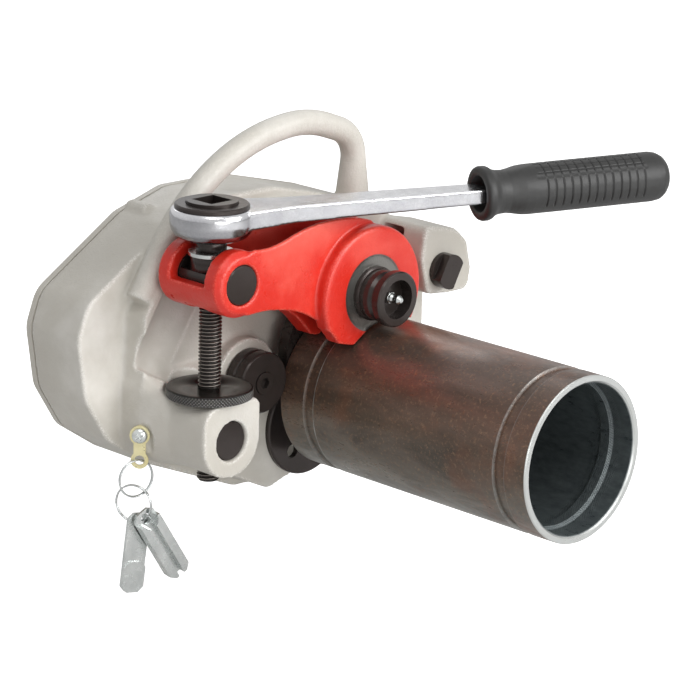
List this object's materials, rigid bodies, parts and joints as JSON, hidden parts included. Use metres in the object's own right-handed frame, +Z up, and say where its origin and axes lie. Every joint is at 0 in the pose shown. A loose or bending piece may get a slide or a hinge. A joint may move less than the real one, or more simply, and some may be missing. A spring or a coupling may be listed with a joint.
{
  "type": "pipe roll groover",
  "caption": "Cast roll groover with carry handle, red swing arm, feed screw with ratchet wrench, and a grooved pipe clamped between its rolls.",
  "frame": {"origin": "on the resting plane of the foot, in the middle of its depth, under the axis of the drive shaft", "axes": "+X to the right and +Y to the back as seen from the pipe end, +Z up; drive shaft along +Y"},
  "size_m": [0.393, 0.3801, 0.315],
  "materials": {
    "cast_paint": "satin light grey paint over a casting",
    "arm_paint": "glossy red paint over a casting",
    "black_oxide": "black oxide with oil",
    "zinc": "bright zinc",
    "yellow_zinc": "pale yellow zinc",
    "chrome_steel": "polished chrome",
    "gear_steel": "machined steel",
    "bronze": "plain bronze",
    "grip_rubber": "moulded grip",
    "pipe_steel": "mill scale with some rust"
  },
  "bodies": {
    "frame": {"frame": "cast_paint", "rear_cover": "cast_paint", "cover_screws": "black_oxide", "bearing_cap": "black_oxide", "bearing_cap_screws": "black_oxide", "front_bearing": "gear_steel", "rear_bearing": "gear_steel", "shaft_seal": "black_oxide", "pinion_bushes": "bronze", "pivot_pin": "black_oxide", "pivot_nut": "black_oxide", "roller_screw": "black_oxide", "lanyard_screw": "zinc", "lanyard_tab": "yellow_zinc"},
    "drive": {"drive_shaft": "black_oxide", "bull_gear": "gear_steel", "gear_key": "gear_steel", "gear_ring": "gear_steel"},
    "pinion": {"input_pinion": "black_oxide"},
    "guide": {"guide_roller": "black_oxide", "roller_bush": "bronze"},
    "pipe": {"pipe": "pipe_steel"},
    "arm": {"arm": "arm_paint", "pivot_bush": "bronze", "roll_shaft": "black_oxide", "grease_nipple": "zinc", "shaft_clip": "gear_steel"},
    "roll": {"groove_roll": "black_oxide", "roll_bush": "bronze"},
    "upper_trunnion": {"upper_trunnion": "black_oxide"},
    "feed_screw": {"feed_screw": "black_oxide", "thrust_washer": "zinc", "ratchet_gear": "black_oxide"},
    "depth_stop": {"depth_stop": "black_oxide"},
    "ratchet": {"ratchet_body": "chrome_steel", "ratchet_cap": "black_oxide", "ratchet_pawl": "gear_steel", "pawl_spring": "gear_steel", "ratchet_grip": "grip_rubber"},
    "lower_trunnion": {"lower_trunnion": "black_oxide"},
    "upper_ring": {"upper_split_ring": "zinc"},
    "lower_ring": {"lower_split_ring": "zinc"},
    "flat_gauge": {"flat_gauge": "zinc"},
    "channel_gauge": {"channel_gauge": "zinc"}
  },
  "joints": [
    {"name": "drive_spin", "type": "hinge", "parent": "frame", "child": "drive", "pos_m": [0, -0.0955, 0.103], "axis": [0, 1, 0], "continuous": true},
    {"name": "pinion_spin", "type": "hinge", "parent": "frame", "child": "pinion", "pos_m": [-0.00419, 0, 0.04315], "axis": [0, 1, 0], "continuous": true},
    {"name": "pipe_spin", "type": "hinge", "parent": "frame", "child": "pipe", "pos_m": [0.00688, -0.18, 0.07436], "axis": [0, 1, 0], "continuous": true},
    {"name": "guide_spin", "type": "hinge", "parent": "frame", "child": "guide", "pos_m": [-0.07035, -0.0645, 0.09078], "axis": [0, 1, 0], "continuous": true},
    {"name": "arm_swing", "type": "hinge", "parent": "frame", "child": "arm", "pos_m": [0.086, -0.058, 0.149], "axis": [0, 1, 0], "range_deg": [0, 6.5]},
    {"name": "roll_spin", "type": "hinge", "parent": "arm", "child": "roll", "pos_m": [-0.01235, -0.0955, 0.15444], "axis": [0, 1, 0], "continuous": true},
    {"name": "upper_trunnion_turn", "type": "hinge", "parent": "arm", "child": "upper_trunnion", "pos_m": [-0.127, -0.0789, 0.177], "axis": [0, 1, 0], "range_deg": [-4.95, 0.4]},
    {"name": "lower_trunnion_turn", "type": "hinge", "parent": "frame", "child": "lower_trunnion", "pos_m": [-0.127, -0.0789, 0.0675], "axis": [0, 1, 0], "range_deg": [-0.4, 2.35]},
    {"name": "feed_screw_turn", "type": "hinge", "parent": "upper_trunnion", "child": "feed_screw", "pos_m": [-0.127, -0.0789, 0.177], "axis": [0, 0, 1], "range_deg": [0, 3457]},
    {"name": "depth_stop_slide", "type": "slide", "parent": "feed_screw", "child": "depth_stop", "axis": [0, 0, 1], "range_m": [0, 0.045]},
    {"name": "ratchet_swing", "type": "hinge", "parent": "upper_trunnion", "child": "ratchet", "pos_m": [-0.127, -0.0789, 0.215], "axis": [0, 0, 1], "range_deg": [-190, 20]},
    {"name": "upper_ring_swing", "type": "hinge", "parent": "frame", "child": "upper_ring", "pos_m": [-0.15849, -0.04449, 0.047], "axis": [0.9084, -0.4182, 0], "range_deg": [-7, 25]},
    {"name": "lower_ring_swing", "type": "hinge", "parent": "upper_ring", "child": "lower_ring", "pos_m": [-0.15498, -0.0461, 0.02411], "axis": [0.9089, -0.4171, 0], "range_deg": [-25, 25]},
    {"name": "flat_gauge_swing", "type": "hinge", "parent": "lower_ring", "child": "flat_gauge", "pos_m": [-0.15756, -0.0427, 0.00249], "axis": [0.1736, 0.9848, 0], "range_deg": [0, 40]},
    {"name": "channel_gauge_swing", "type": "hinge", "parent": "lower_ring", "child": "channel_gauge", "pos_m": [-0.15542, -0.0473, 0.0053], "axis": [0.1736, 0.9848, 0], "range_deg": [-25, 0]}
  ],
  "couplings": [
    {"joint": "pinion_spin", "follows": "drive_spin", "ratio": -3},
    {"joint": "pipe_spin", "follows": "drive_spin", "ratio": 0.42512},
    {"joint": "roll_spin", "follows": "drive_spin", "ratio": -0.86677},
    {"joint": "guide_spin", "follows": "drive_spin", "ratio": -1.13},
    {"joint": "arm_swing", "follows": "feed_screw_turn", "ratio": 0.0018801},
    {"joint": "upper_trunnion_turn", "follows": "feed_screw_turn", "ratio": -0.0013167},
    {"joint": "lower_trunnion_turn", "follows": "feed_screw_turn", "ratio": 0.00056357}
  ]
}
